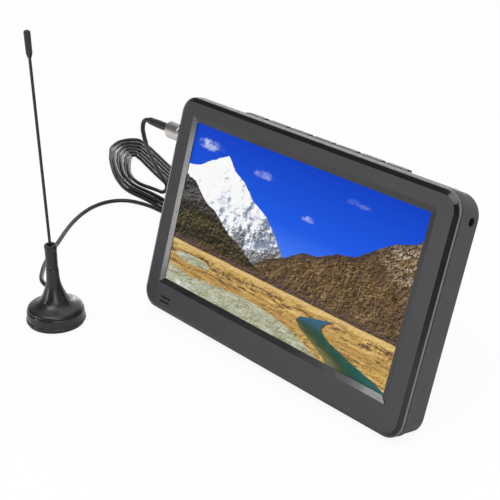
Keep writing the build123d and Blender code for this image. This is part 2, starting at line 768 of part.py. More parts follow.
save(kickstand, "kickstand", CASE_BLACK)

with BuildPart() as kickstand_sleeve:
    with BuildSketch(AXLE.offset(-SLEEVE_SEAT_L / 2 + 0.2)):
        with Locations((LEG_L, 0)):
            Circle(SLEEVE_R)
            Circle(0.92, mode=Mode.SUBTRACT)
    extrude(amount=SLEEVE_SEAT_L - 0.4)
save(kickstand_sleeve, "kickstand_sleeve", RUBBER)

with BuildPart() as kickstand_pin:
    with BuildSketch(AXLE.offset(-POCKET_W / 2 - 2.7)):
        Circle(PIN_R)
    extrude(amount=POCKET_W + 5.4)
save(kickstand_pin, "kickstand_pin", (0.7, 0.7, 0.72))

# ---------------------------------------------------------------------------
# aerial: bell base with a ring, magnet, plate and pad; neck stud; collar; whip
# ---------------------------------------------------------------------------
BASE_X, BASE_Y = -108.0, -50.2
FOOT = Plane(origin=(BASE_X, BASE_Y, 0), x_dir=(1, 0, 0), z_dir=(0, 0, 1))
TURN = Plane(origin=(BASE_X, BASE_Y, 0), x_dir=(1, 0, 0), z_dir=(0, -1, 0))
AERIAL_AXIS = Axis((BASE_X, BASE_Y, 0), (0, 0, 1))
ENTRY = math.radians(152)    # where the lead enters the base, seen from above
ENTRY_Z = 2.9
ENTRY_DIR = Vector(math.cos(ENTRY), math.sin(ENTRY), 0)
ENTRY_PLANE = Plane(origin=(BASE_X, BASE_Y, ENTRY_Z), x_dir=(0, 0, 1), z_dir=ENTRY_DIR)
MAGNET_R, MAGNET_HOLE_R = 10.9, 2.6
NECK_TOP = 30.9

# outlines turned about the aerial's axis: radius, height
BELL_CURVE = [
    (14.8, 7.7), (14.2, 8.9), (12.4, 9.8), (9.5, 11.2), (7.2, 13.8), (5.7, 17.0),
    (4.5, 20.2), (3.85, 22.8), (3.5, 26.0), (3.42, 28.2), (3.35, 30.4),
]
RING_OUTLINE = [
    (11.2, 1.0), (15.5, 1.0), (15.75, 1.3), (15.75, 2.2), (15.55, 2.5), (15.3, 2.62),
    (15.42, 2.9), (15.15, 6.75), (14.85, 7.22), (11.2, 7.22),
]
COLLAR_OUTLINE = [
    (0, 30.98), (2.8, 30.98), (3.12, 31.3), (3.12, 32.9), (2.94, 33.05), (2.94, 33.3),
    (3.1, 33.45), (3.14, 41.0), (3.3, 42.4), (3.3, 44.2), (3.0, 44.6), (2.1, 44.6),
    (1.6, 43.2), (0, 43.2),
]

with BuildPart() as aerial_base:
    with BuildSketch(TURN):
        with BuildLine():
            Polyline((3.0, 7.3), (14.6, 7.3), BELL_CURVE[0])
            Spline(*BELL_CURVE)
            Polyline(BELL_CURVE[-1], (3.05, NECK_TOP), (2.0, NECK_TOP), (2.0, 12.0), (3.0, 7.3))
        make_face()
    revolve(axis=AERIAL_AXIS)
save(aerial_base, "aerial_base", AERIAL_BLACK)

with BuildPart() as base_ring:
    with BuildSketch(TURN):
        with BuildLine():
            Polyline(*RING_OUTLINE, close=True)
        make_face()
    revolve(axis=AERIAL_AXIS)
    # hole for the grommet
    with BuildSketch(ENTRY_PLANE):
        Circle(1.95)
    extrude(amount=20, mode=Mode.SUBTRACT)
save(base_ring, "base_ring", AERIAL_BLACK)

with BuildPart() as base_magnet:
    with BuildSketch(FOOT.offset(2.2)):
        Circle(MAGNET_R)
        Circle(MAGNET_HOLE_R, mode=Mode.SUBTRACT)
    extrude(amount=3.0)
    # channel in line with the lead
    with BuildSketch(ENTRY_PLANE):
        Circle(1.5)
    extrude(amount=20, mode=Mode.SUBTRACT)
save(base_magnet, "base_magnet", (0.12, 0.12, 0.13))

with BuildPart() as base_plate:
    with BuildSketch(FOOT.offset(5.25)):
        Circle(MAGNET_R)
        Circle(MAGNET_HOLE_R, mode=Mode.SUBTRACT)
    extrude(amount=1.97)
save(base_plate, "base_plate", STEEL)

with BuildPart() as base_pad:
    with BuildSketch(FOOT):
        Circle(15.0)
    extrude(amount=0.95)
save(base_pad, "base_pad", RUBBER)

# overlapping sleeves: distance from the base's axis, outer radius, length
GROMMET_SLEEVES = [(13.0, 1.9, 2.0), (15.95, 1.85, 3.4), (14.9, 1.85, 1.2)]

with BuildPart() as base_grommet:
    for distance, radius, length in GROMMET_SLEEVES:
        with BuildSketch(ENTRY_PLANE.offset(distance)):
            Circle(radius)
            Circle(CABLE_R + 0.02, mode=Mode.SUBTRACT)
        extrude(amount=length)
save(base_grommet, "base_grommet", JET)

# brass stud up the neck, carrying the collar
STUD_BOTTOM = 12.5

with BuildPart() as neck_stud:
    with BuildSketch(FOOT.offset(STUD_BOTTOM)):
        Circle(1.95)
    extrude(amount=NECK_TOP - STUD_BOTTOM)
    with BuildSketch(FOOT.offset(NECK_TOP)):
        Circle(1.5)
    extrude(amount=4.8)
save(neck_stud, "neck_stud", (0.72, 0.55, 0.25))

# the whip leans a little to the left and towards the watcher
WHIP_TILT = math.radians(1.35)
WHIP_BORE_R = 0.78
whip_dir = Vector(
    -math.sin(WHIP_TILT) * 0.673, -math.sin(WHIP_TILT) * 0.739, math.cos(WHIP_TILT)
)
WHIP = Plane(origin=(BASE_X, BASE_Y, 38.0), x_dir=(1, 0, 0), z_dir=whip_dir)
# radius, minus the distance along the whip
TIP_OUTLINE = [
    (0, -105.8), (1.0, -105.8), (1.62, -107.9), (1.7, -118.3),
    (1.5, -118.85), (0.9, -119.15), (0.4, -119.4), (0, -119.4),
]

with BuildPart() as whip_collar:
    with BuildSketch(TURN):
        with BuildLine():
            Polyline(*COLLAR_OUTLINE, close=True)
        make_face()
    revolve(axis=AERIAL_AXIS)
    # bores for the stud and the whip
    with BuildSketch(FOOT.offset(28.0)):
        Circle(1.56)
    extrude(amount=8.6, mode=Mode.SUBTRACT)
    with BuildSketch(WHIP):
        Circle(WHIP_BORE_R)
    extrude(amount=12, mode=Mode.SUBTRACT)
save(whip_collar, "whip_collar", AERIAL_BLACK)

with BuildPart() as whip_rod:
    with BuildSketch(WHIP.offset(0.1)):
        Circle(0.76)
    extrude(amount=113.5)
save(whip_rod, "whip_rod", AERIAL_BLACK)

with BuildPart() as whip_tip:
    with BuildSketch(Plane(origin=WHIP.origin, x_dir=WHIP.x_dir, z_dir=WHIP.y_dir)):
        with BuildLine():
            Polyline(*TIP_OUTLINE, close=True)
        make_face()
    revolve(axis=Axis(WHIP.origin, WHIP.z_dir))
    with BuildSketch(WHIP.offset(100)):
        Circle(WHIP_BORE_R)
    extrude(amount=13.7, mode=Mode.SUBTRACT)
save(whip_tip, "whip_tip", AERIAL_BLACK)

# ---------------------------------------------------------------------------
# plug: nickel shell, insulator, pin, moulded boot
# ---------------------------------------------------------------------------
PLUG_IN = 84.2               # distance of the shell's nose left of the set's middle
PLUG_SIDE = Plane(origin=spot(0, *PLUG_AT), x_dir=(-1, 0, 0), z_dir=TV.z_dir)
PLUG_AXIS = Axis(spot(0, *PLUG_AT), (1, 0, 0))
BOOT_BORE_R = CABLE_R + 0.03

# outlines turned about the plug's axis: distance left of the set's middle, radius
SHELL_OUTLINE = [
    (PLUG_IN, 4.05), (PLUG_IN, PLUG_R - 0.3), (PLUG_IN + 0.5, PLUG_R), (92.8, PLUG_R),
    (92.8, 4.95), (96.2, 4.95), (96.6, 4.6), (97.2, 4.6), (97.6, 4.95), (106.6, 4.95),
    (107.4, 4.5), (109.3, 2.9), (109.3, 2.25), (96.0, 2.25), (96.0, 4.05),
]
BOOT_OUTLINE = [
    (106.0, BOOT_BORE_R), (106.0, 2.15), (109.4, 2.15), (109.4, 2.3),
    (118.0, 2.25), (125.2, 2.0), (126.4, 1.75), (126.4, BOOT_BORE_R),
]

with BuildPart() as plug_shell:
    with BuildSketch(PLUG_SIDE):
        with BuildLine():
            Polyline(*SHELL_OUTLINE, close=True)
        make_face()
    revolve(axis=PLUG_AXIS)
    # slits that part the nose into fingers
    with BuildSketch(facing_left(-PLUG_IN + 1, *PLUG_AT)):
        with PolarLocations(0, 4):
            Rectangle(12, 0.5)
    extrude(amount=8.0, mode=Mode.SUBTRACT)
save(plug_shell, "plug_shell", (0.78, 0.75, 0.70))

with BuildPart() as plug_insulator:
    with BuildSketch(facing_left(-92.6, *PLUG_AT)):
        Circle(4.0)
        Circle(1.22, mode=Mode.SUBTRACT)
    extrude(amount=3.3)
save(plug_insulator, "plug_insulator", (0.92, 0.92, 0.88))

with BuildPart() as plug_pin:
    with BuildSketch(facing_left(-85.0, *PLUG_AT)):
        Circle(1.2)
    extrude(amount=13.0)
    chamfer(plug_pin.edges().group_by(Axis.X)[-1], 0.45)
save(plug_pin, "plug_pin", (0.80, 0.66, 0.30))

with BuildPart() as plug_boot:
    with BuildSketch(PLUG_SIDE):
        with BuildLine():
            Polyline(*BOOT_OUTLINE, close=True)
        make_face()
    revolve(axis=PLUG_AXIS)
save(plug_boot, "plug_boot", AERIAL_BLACK)

# ---------------------------------------------------------------------------
# aerial lead: from inside the plug down behind the set, six turns of coil,
# then round to the base. In the tables y is measured from the face's lower edge.
# ---------------------------------------------------------------------------
FACE_BACK = FOOT_Z * COS     # from the face's lower edge back to the origin
REST_Z = CABLE_R + 0.06      # centre height of a lead lying on the floor
TURNS = 6

# x, y, z down to the floor
DESCENT = [
    (-134.6, 38.6, 76.2), (-135.9, 40.4, 72.2), (-140.3, 45, 65.3), (-146.1, 52, 56.3),
    (-154.8, 62, 44.8), (-166.1, 75, 31.4), (-175.2, 85, 21.1), (-184.5, 92.0, 13.0),
    (-194.3, 96.3, 6.9),
]
# x, y of the innermost and the outermost turn, one point per spoke
COIL_IN = [
    (-203.5, 98.5), (-223.2, 98.6), (-237.7, 103.4), (-250.4, 111.7), (-260.2, 119.7),
    (-263.7, 122.7), (-267.3, 128.7), (-259.3, 127.6), (-250.1, 124.7), (-241.9, 122.1),
    (-228.7, 118), (-212, 113.2), (-194.9, 110.3), (-176, 105.4), (-174.5, 103.8),
    (-179.1, 100.3), (-187.7, 99),
]
COIL_OUT = [
    (-201.9, 86.7), (-225.9, 88), (-245.3, 94.9), (-265.2, 105.3), (-284.6, 118),
    (-298.1, 130.5), (-301.6, 142.1), (-297.7, 152.1), (-282.7, 151.4), (-259.8, 144.9),
    (-239.1, 138.1), (-211.5, 130.2), (-178.9, 125.6), (-145.6, 115.7), (-134.1, 107.2),
    (-143, 89.9), (-166.4, 84.9),
]
# x, y along the floor from the coil to the base
RUN_OUT = [
    (-158, 83.9), (-179, 84.2), (-192.8, 83.6), (-201.6, 81.6), (-208.7, 78.3),
    (-213.6, 73), (-216, 66), (-215.6, 56.5), (-211.5, 45), (-205, 33.5), (-197, 22.5),
    (-188.5, 12.2), (-179.5, 1.2), (-170.3, -9.2), (-160.5, -18.6), (-150.5, -25.8),
]
# how far an upper turn rides up at each narrow spoke, as a share of LAYER_LIFT
RAISED = {0: 1.0, 1: 1.0, 2: 1.0, 3: 0.8, 4: 0.4, 5: 0.1, 15: 0.3, 16: 0.75}
LAYER_LIFT = 2.0
SPOKES = len(COIL_IN)


def layer(turn, spoke):
    """Where the coil is narrow, every second turn rides on its neighbours."""
    owner = turn if spoke < 8 else turn + 1
    return LAYER_LIFT * RAISED.get(spoke, 0.0) if owner % 2 == 0 and owner < TURNS else 0.0


def coil_point(count):
    """Point of the coil, counted in spokes from its inner end."""
    outward = count / (TURNS * SPOKES)
    turn, spoke = divmod(count, SPOKES)
    (in_x, in_y), (out_x, out_y) = COIL_IN[spoke], COIL_OUT[spoke]
    bulge = 1.3 * math.exp(-((spoke - 6.0) / 2.6) ** 2)    # lifted round the far end
    settle = 1.6 * max(0.0, 1 - count / 1.6)               # still coming down at first
    return (
        in_x + (out_x - in_x) * outward,
        in_y + (out_y - in_y) * outward - FACE_BACK,
        REST_Z + bulge + settle + layer(turn, spoke),
    )


def entry_point(distance):
    """Point on the lead's way into the base, this far from the base's axis."""
    return Vector(BASE_X, BASE_Y, ENTRY_Z) + ENTRY_DIR * distance


def biarcs(through, first, last):
    """Start, end and starting direction of the tangent arcs that run smoothly through points."""
    points = [Vector(*p) for p in through]
    along = [first]
    for before, here, after in zip(points, points[1:], points[2:]):
        near, far = here - before, after - here
        along.append((near.normalized() * far.length + far.normalized() * near.length).normalized())
    along.append(last)
    found = []
    for here, there, leaving, arriving in zip(points, points[1:], along, along[1:]):
        reach, both = there - here, leaving + arriving
        bend, pull = 2 * (1 - leaving.dot(arriving)), 2 * reach.dot(both)
        if bend < 1e-9:
            step = reach.dot(reach) / pull
        else:
            step = (math.sqrt(pull * pull + 4 * bend * reach.dot(reach)) - pull) / (2 * bend)
        one, two = here + leaving * step, there - arriving * step
        middle = (one + two) / 2
        found += [(here, middle, leaving), (middle, there, (two - one).normalized())]
    return found


start = spot(-98.6, *PLUG_AT)
approach = entry_point(24)
lead = [
    (-127.0, start.Y, start.Z),
    (-131.4, start.Y + 0.15, start.Z - 1.9),
    (-133.6, start.Y + 0.6, start.Z - 6.6),
]
lead += [(x, y - FACE_BACK, z) for x, y, z in DESCENT]
lead += [coil_point(count) for count in range(TURNS * SPOKES - 1)]
lead += [(x, y - FACE_BACK, REST_Z) for x, y in RUN_OUT]
lead += [
    (approach.X - 5.5, approach.Y + 3.9, CABLE_R + 0.35),
    (approach.X + 1.1, approach.Y - 0.7, 2.5),
    tuple(entry_point(20.0)),
]

with BuildPart() as aerial_lead:
    with BuildLine():
        Line(start, lead[0])
        for here, there, leaving in biarcs(lead, Vector(-1, 0, 0), -ENTRY_DIR):
            # nearly straight pieces are drawn as lines
            if (there - here).get_angle(leaving) < 0.05:
                Line(here, there)
            else:
                TangentArc(here, there, tangent=leaving)
        Line(lead[-1], entry_point(12.6))
    with BuildSketch(Plane(origin=start, z_dir=(-1, 0, 0))):
        Circle(CABLE_R)
    sweep()
save(aerial_lead, "aerial_lead", AERIAL_BLACK)
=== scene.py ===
"""Looks, stage and camera for a small portable television with a separate whip aerial.

The television stands on z = 0 with its screen towards -y, leaning back by LEAN. Its face has
its own axes: x across, y up the face, z out of it. The row frame is in metres. The materials
work in millimetres, so every texture scale is per millimetre.
"""
import math
from functools import cached_property

import bpy
from mathutils import Matrix, Vector

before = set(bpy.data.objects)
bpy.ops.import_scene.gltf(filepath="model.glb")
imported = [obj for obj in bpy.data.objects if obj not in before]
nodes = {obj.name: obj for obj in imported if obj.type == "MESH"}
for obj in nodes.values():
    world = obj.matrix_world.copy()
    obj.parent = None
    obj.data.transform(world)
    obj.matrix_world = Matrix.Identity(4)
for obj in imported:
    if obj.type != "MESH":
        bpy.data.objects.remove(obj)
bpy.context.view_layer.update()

scene = bpy.context.scene

MM = 1000.0                                   # millimetres in a metre
LEAN = math.radians(17)
ORIGIN = Vector((0, -0.005738, 0.0024))       # foot of the leaning face
FACE_X = Vector((1, 0, 0))
FACE_Y = Vector((0, math.sin(LEAN), math.cos(LEAN)))
FACE_Z = Vector((0, -math.cos(LEAN), math.sin(LEAN)))


# ----------------------------------------------------------------------------
# a small writer for node trees
# ----------------------------------------------------------------------------
class Signal:
    """A node's output. Arithmetic on it adds math nodes to its net."""

    def __init__(self, net, socket):
        self.net = net
        self.socket = socket

    def __add__(self, other):
        return self.net.math("ADD", self, other)

    def __radd__(self, other):
        return self.net.math("ADD", other, self)

    def __sub__(self, other):
        return self.net.math("SUBTRACT", self, other)

    def __rsub__(self, other):
        return self.net.math("SUBTRACT", other, self)

    def __mul__(self, other):
        return self.net.math("MULTIPLY", self, other)

    def __pow__(self, other):
        return self.net.math("POWER", self, other)

    def __lt__(self, other):
        return self.net.math("LESS_THAN", self, other)

    def __gt__(self, other):
        return self.net.math("GREATER_THAN", self, other)

    def __abs__(self):
        return self.net.math("ABSOLUTE", self)

    def smooth(self, start, end):
        """0 at start, 1 at end, eased between; start may be the larger."""
        inputs = {"Value": self, "From Min": start, "From Max": end}
        return self.net.node("ShaderNodeMapRange", inputs, output="Result",
                             interpolation_type="SMOOTHSTEP")

    def remap(self, low, high, to_low=0.0, to_high=1.0):
        inputs = {"Value": self, "From Min": low, "From Max": high,
                  "To Min": to_low, "To Max": to_high}
        return self.net.node("ShaderNodeMapRange", inputs, output="Result")

    def ramp(self, *stops):
        """A colour from stops of (place, colour or grey)."""
        made = self.net.node("ShaderNodeValToRGB", {0: self})
        points = made.socket.node.color_ramp.elements
        while len(points) > 1:
            points.remove(points[-1])
        for i, (place, colour) in enumerate(stops):
            if isinstance(colour, (int, float)):
                colour = (colour, colour, colour)
            point = points[0] if i == 0 else points.new(place)
            point.position = place
            point.color = (*colour, 1.0)
        return made

    def curve(self, *stops):
        """A number from stops of (place, number), both in 0..1."""
        return self.net.node("ShaderNodeRGBToBW", {0: self.ramp(*stops)})


class Net:
    """The node tree of a material or a world."""

    def __init__(self, owner, output="ShaderNodeOutputMaterial"):
        owner.use_nodes = True
        self.owner = owner
        self.tree = owner.node_tree
        self.tree.nodes.clear()
        self.out = self.tree.nodes.new(output)

    def put(self, socket, value):
        """Link a signal or set a value; None leaves the socket alone."""
        if isinstance(value, Signal):
            self.tree.links.new(value.socket, socket)
        elif value is not None:
            if socket.type == "RGBA":
                grey = isinstance(value, (int, float))
                value = (value, value, value, 1.0) if grey else (*value, 1.0)
            socket.default_value = value

    def node(self, kind, inputs=None, output=0, **settings):
        made = self.tree.nodes.new(kind)
        for key, value in settings.items():
            setattr(made, key, value)
        for key, value in (inputs or {}).items():
            self.put(made.inputs[key], value)
        return Signal(self, made.outputs[output])

    def math(self, operation, *values):
        return self.node("ShaderNodeMath", dict(enumerate(values)), operation=operation)

    def vector_math(self, operation, a, b, output="Vector"):
        return self.node("ShaderNodeVectorMath", {0: a, 1: b}, output, operation=operation)

    def dot(self, a, b):
        return self.vector_math("DOT_PRODUCT", a, b, output="Value")

    def scaled(self, vector, by):
        return self.node("ShaderNodeVectorMath", {0: vector, "Scale": by}, "Vector",
                         operation="SCALE")

    def vector(self, x, y, z=0.0):
        return self.node("ShaderNodeCombineXYZ", {0: x, 1: y, 2: z})

    @cached_property
    def place(self):
        """Place in the row frame, in millimetres."""
        return self.scaled(self.node("ShaderNodeTexCoord", output="Object"), MM)

    @cached_property
    def face(self):
        """Place across and up the leaning face, in millimetres."""
        offset = self.vector_math("SUBTRACT", self.place, tuple(ORIGIN * 1000))
        return self.dot(offset, tuple(FACE_X)), self.dot(offset, tuple(FACE_Y))

    @cached_property
    def normal(self):
        return self.node("ShaderNodeNewGeometry", output="Normal")

    def noise(self, where, scale, detail=3.0, rough=0.5, twist=0.0):
        inputs = {"Vector": where, "Scale": scale, "Detail": detail,
                  "Roughness": rough, "Distortion": twist}
        return self.node("ShaderNodeTexNoise", inputs)

    def cells(self, where, scale):
        """Distance to the nearest of a scatter of points."""
        return self.node("ShaderNodeTexVoronoi", {"Vector": where, "Scale": scale}, "Distance")

    def mix(self, share, a, b):
        return self.node("ShaderNodeMix", {0: share, 6: a, 7: b}, 2, data_type="RGBA")

    def mix_number(self, share, a, b):
        return self.node("ShaderNodeMix", {0: share, 2: a, 3: b}, data_type="FLOAT")

    def mix_shader(self, share, a, b):
        return self.node("ShaderNodeMixShader", {0: share, 1: a, 2: b})

    def rounded(self, radius):
        """The normal with edges rounded to a radius in millimetres."""
        return self.node("ShaderNodeBevel", {"Radius": radius / 1000}, samples=6)

    def edges(self, radius):
        """A mask near 1 on sharp edges and 0 on open faces, and the rounded normal."""
        rounded = self.rounded(radius)
        return self.dot(self.normal, rounded).remap(0.995, 0.80), rounded

    def bump(self, height, depth, normal=None):
        """depth in millimetres."""
        inputs = {"Strength": 1.0, "Distance": depth / 1000, "Height": height, "Normal": normal}
        return self.node("ShaderNodeBump", inputs)

    def surface(self, **values):
        inputs = {key.replace("_", " "): value for key, value in values.items()}
        return self.node("ShaderNodeBsdfPrincipled", inputs)

    def finish(self, shader):
        self.put(self.out.inputs[0], shader)
        return self.owner


def material_net(name):
    return Net(bpy.data.materials.new(name))


def tinted(colour, by):
    return tuple(min(1.0, c * by) for c in colour)


# ----------------------------------------------------------------------------
# families of finish
# ----------------------------------------------------------------------------
def moulded(name, colour, rough, grain, depth, edge, specular, wear, coat):
    """Moulded plastic: fine grain, tone drift, and edges rubbed lighter and smoother."""
    net = material_net(name)
    at = net.place
    fine = net.noise(at, scale=grain, detail=2.0, rough=0.6)
    pits = net.cells(at, scale=grain * 0.55)
    drift = net.noise(at, scale=0.035, rough=0.55)
    patch = net.noise(at, scale=0.35, rough=0.6)
    along_x = net.vector_math("MULTIPLY", at, (0.25, 2.2, 2.2))
    scuff = net.noise(along_x, scale=1.3, detail=2.0)
    edge_on, rounded = net.edges(edge)
    rubbed = edge_on * patch.remap(0.3, 0.6, 0.2, 1.0)

    tone = net.mix(drift.remap(0.3, 0.7), tinted(colour, 0.9), tinted(colour, 1.1))
    tone = net.mix(patch.remap(0.35, 0.75, 0.0, 0.35), tone, tinted(colour, 1.22))
    tone = net.mix(rubbed * 0.6, tone, tinted(colour, wear * 1.3))
    roughness = (patch.remap(0.2, 0.8, rough - 0.05, rough + 0.05)
                 + scuff.remap(0.45, 0.8, 0.0, 0.05))
    return net.finish(net.surface(
        Base_Color=tone, Roughness=roughness - rubbed * 0.14, Specular_IOR_Level=specular,
        Normal=net.bump(fine * 0.7 + pits * 0.5, depth, rounded),
        Coat_Weight=coat, Coat_Roughness=0.12))


def gloss(name, colour, rough, edge, coat, ripple, speck):
    """Polished black: faint orange peel, dust specks, and fingermarks in the roughness."""
    net = material_net(name)
    at = net.place
    peel = net.noise(at, scale=0.9, detail=2.0, rough=0.4)
    dust = net.noise(at, scale=3.2, detail=2.0, rough=0.6).smooth(0.66, 0.74)
    marks = net.noise(at, scale=0.11, detail=4.0, rough=0.65, twist=0.6)
    edge_on, rounded = net.edges(edge)

    tone = net.mix(marks.remap(0.35, 0.7), tinted(colour, 0.92), tinted(colour, 1.1))
    tone = net.mix(dust * (speck * 0.1), tone, (0.3, 0.3, 0.31))
    tone = net.mix(edge_on * 0.25, tone, tinted(colour, 2.0))
    roughness = marks.remap(0.3, 0.75, rough * 0.8, rough * 1.35) + dust * speck
    return net.finish(net.surface(
        Base_Color=tone, Roughness=roughness, Specular_IOR_Level=0.5,
        Normal=net.bump(peel, ripple, rounded), Coat_Weight=coat, Coat_Roughness=0.06))


def rubber(name, colour, rough, sheen):
    """Soft matte skin with patchy tone and a pale bloom."""
    net = material_net(name)
    at = net.place
    fine = net.noise(at, scale=3.5, rough=0.6)
    patch = net.noise(at, scale=0.25, rough=0.55)
    bloom = net.noise(at, scale=0.6, detail=4.0, rough=0.6).smooth(0.5, 0.75)

    tone = net.mix(patch.remap(0.3, 0.7), tinted(colour, 0.85), tinted(colour, 1.2))
    tone = net.mix(bloom * 0.12, tone, (0.16, 0.16, 0.165))
    return net.finish(net.surface(
        Base_Color=tone, Roughness=patch.remap(0.2, 0.8, rough - 0.07, rough + 0.07),
        Specular_IOR_Level=0.45, Normal=net.bump(fine, 0.01, net.rounded(0.15)),
        Sheen_Weight=sheen, Sheen_Roughness=0.4))


def metal(name, colour, rough, brush, depth, worn, lines):
    """Bare or plated metal: fine lines, tarnish spots, brighter rubbed edges."""
    net = material_net(name)
    at = net.place
    streak = net.noise(net.vector_math("MULTIPLY", at, brush), scale=lines, rough=0.6)
    cloud = net.noise(at, scale=0.4, rough=0.6)
    spots = net.noise(at, scale=2.0, detail=2.0, rough=0.6).smooth(0.66, 0.78)
    edge_on, rounded = net.edges(0.12)

    tone = net.mix(cloud.remap(0.3, 0.7), tinted(colour, 0.86), tinted(colour, 1.06))
    tone = net.mix(spots * worn, tone, tinted(colour, 0.45))
    tone = net.mix(edge_on * 0.5, tone, tinted(colour, 1.2))
    return net.finish(net.surface(
        Base_Color=tone, Metallic=1.0, Normal=net.bump(streak, depth, rounded),
        Roughness=streak.remap(0.3, 0.7, rough * 0.75, rough * 1.3) + spots * 0.2))


# Lengths are in mm and scales per mm.
# colour, roughness, grain scale, grain depth, edge radius, specular, edge wear, coat
MOULDED = {
    "front_matte": ((0.0300, 0.0293, 0.0342), 0.46, 4.5, 0.010, 0.2, 0.5, 1.25, 0.0),
    "rim_band": ((0.030, 0.030, 0.033), 0.34, 4.0, 0.005, 0.3, 0.6, 1.25, 0.0),
    "housing_matte": ((0.034, 0.034, 0.037), 0.50, 3.6, 0.016, 0.35, 0.5, 1.25, 0.0),
    "key_matte": ((0.014, 0.014, 0.0155), 0.50, 4.5, 0.008, 0.35, 0.4, 1.8, 0.0),
    "stand_matte": ((0.030, 0.030, 0.032), 0.48, 3.2, 0.018, 0.4, 0.5, 1.25, 0.0),
    "black_plastic": ((0.014, 0.014, 0.015), 0.42, 5.0, 0.008, 0.2, 0.5, 1.25, 0.0),
    "white_insulator": ((0.72, 0.72, 0.69), 0.40, 3.0, 0.006, 0.15, 0.5, 1.05, 0.0),
    "yellow_plastic": ((0.62, 0.44, 0.04), 0.38, 3.0, 0.006, 0.15, 0.5, 1.15, 0.0),
    "polyimide": ((0.50, 0.22, 0.04), 0.30, 1.2, 0.004, 0.1, 0.5, 1.1, 0.4),
    "battery_film": ((0.10, 0.20, 0.42), 0.24, 0.8, 0.01, 0.3, 0.5, 1.1, 0.5),
}
# colour, roughness, edge radius, coat, ripple depth, speck strength
GLOSS = {
    "rim_gloss": ((0.006, 0.006, 0.0065), 0.12, 0.25, 0.0, 0.004, 0.3),
    "screen_bevel": ((0.012, 0.012, 0.013), 0.16, 0.2, 0.2, 0.004, 0.3),
    # a pale grey on the bezel's rounded rim: a painted highlight line standing in for the light
    # the rim catches
    "rim_corner": ((0.15, 0.15, 0.155), 0.24, 0.2, 0.2, 0.004, 0.3),
    "bell_gloss": ((0.0062, 0.0062, 0.0078), 0.29, 0.25, 0.15, 0.006, 0.2),
    "whip_gloss": ((0.006, 0.006, 0.0075), 0.30, 0.12, 0.1, 0.004, 0.1),
}
# colour, roughness, sheen
RUBBER = {
    "rubber_black": ((0.0085, 0.0085, 0.0095), 0.5, 0.08),
    "lead_sheath": ((0.0042, 0.0042, 0.0052), 0.40, 0.0),
    "tape_black": ((0.010, 0.010, 0.010), 0.7, 0.08),
    "lead_red": ((0.45, 0.02, 0.02), 0.45, 0.08),
    "cone_paper": ((0.035, 0.034, 0.033), 0.8, 0.3),
}
# colour, roughness, line stretch (x, y, z), line depth, tarnish, line scale
METAL = {
    "nickel_plate": ((0.66, 0.62, 0.59), 0.22, (0.15, 3.0, 3.0), 0.004, 0.08, 4.0),
    "brass_plate": ((0.86, 0.62, 0.24), 0.24, (1, 1, 1), 0.005, 0.2, 4.0),
    "pressed_steel": ((0.56, 0.57, 0.59), 0.36, (0.4, 3.0, 0.4), 0.008, 0.2, 4.0),
    "tin_plate": ((0.72, 0.72, 0.70), 0.30, (0.5, 0.5, 2.5), 0.006, 0.25, 4.0),
    "cast_alloy": ((0.55, 0.56, 0.58), 0.45, (1, 1, 1), 0.02, 0.2, 1.5),
    "screw_black_oxide": ((0.055, 0.055, 0.06), 0.34, (1, 1, 1), 0.006, 0.25, 4.0),
    "sintered_magnet": ((0.16, 0.16, 0.17), 0.62, (1, 1, 1), 0.03, 0.3, 1.2),
}


# ----------------------------------------------------------------------------
# single finishes
# ----------------------------------------------------------------------------
def circuit_board(name):
    """Green board with wavering raised tracks along y and pale round pads."""
    net = material_net(name)
    x, y = net.face
    flat = net.vector(x, y)
    waver = net.noise(flat, scale=0.12, detail=1.0) * 18.0
    lane = abs(net.math("SINE", (x + waver) * 3.1)).smooth(0.72, 0.86)
    copper = lane * (net.noise(flat, scale=0.09, detail=2.0) > 0.48)
    weave = net.noise(flat, scale=4.0, detail=2.0)
    pads = net.cells(flat, scale=0.42).smooth(0.10, 0.06)

    tone = net.mix(copper, (0.012, 0.10, 0.035), (0.03, 0.19, 0.07))
    tone = net.mix(pads * 0.9, tone, (0.62, 0.60, 0.52))
    return net.finish(net.surface(
        Base_Color=tone, Roughness=weave.remap(0.3, 0.7, 0.25, 0.4),
        Normal=net.bump(copper * 1.0 + weave * 0.2, 0.03)))


def clear_window(name):
    """Almost invisible window: a weak sharp reflection with faint wiping marks."""
    net = material_net(name)
    x, y = net.face
    marks = net.noise(net.vector(x * 0.35, y), scale=0.09, detail=4.0, rough=0.6, twist=0.8)
    clear = net.node("ShaderNodeBsdfTransparent", {0: 0.985})
    shine = net.node("ShaderNodeBsdfGlossy",
                     {"Roughness": marks.remap(0.35, 0.8, 0.03, 0.10), "Color": 1.0})
    bend = net.node("ShaderNodeFresnel", {"IOR": 1.12})
    return net.finish(net.mix_shader(bend * marks.remap(0.3, 0.8, 0.8, 1.1), clear, shine))


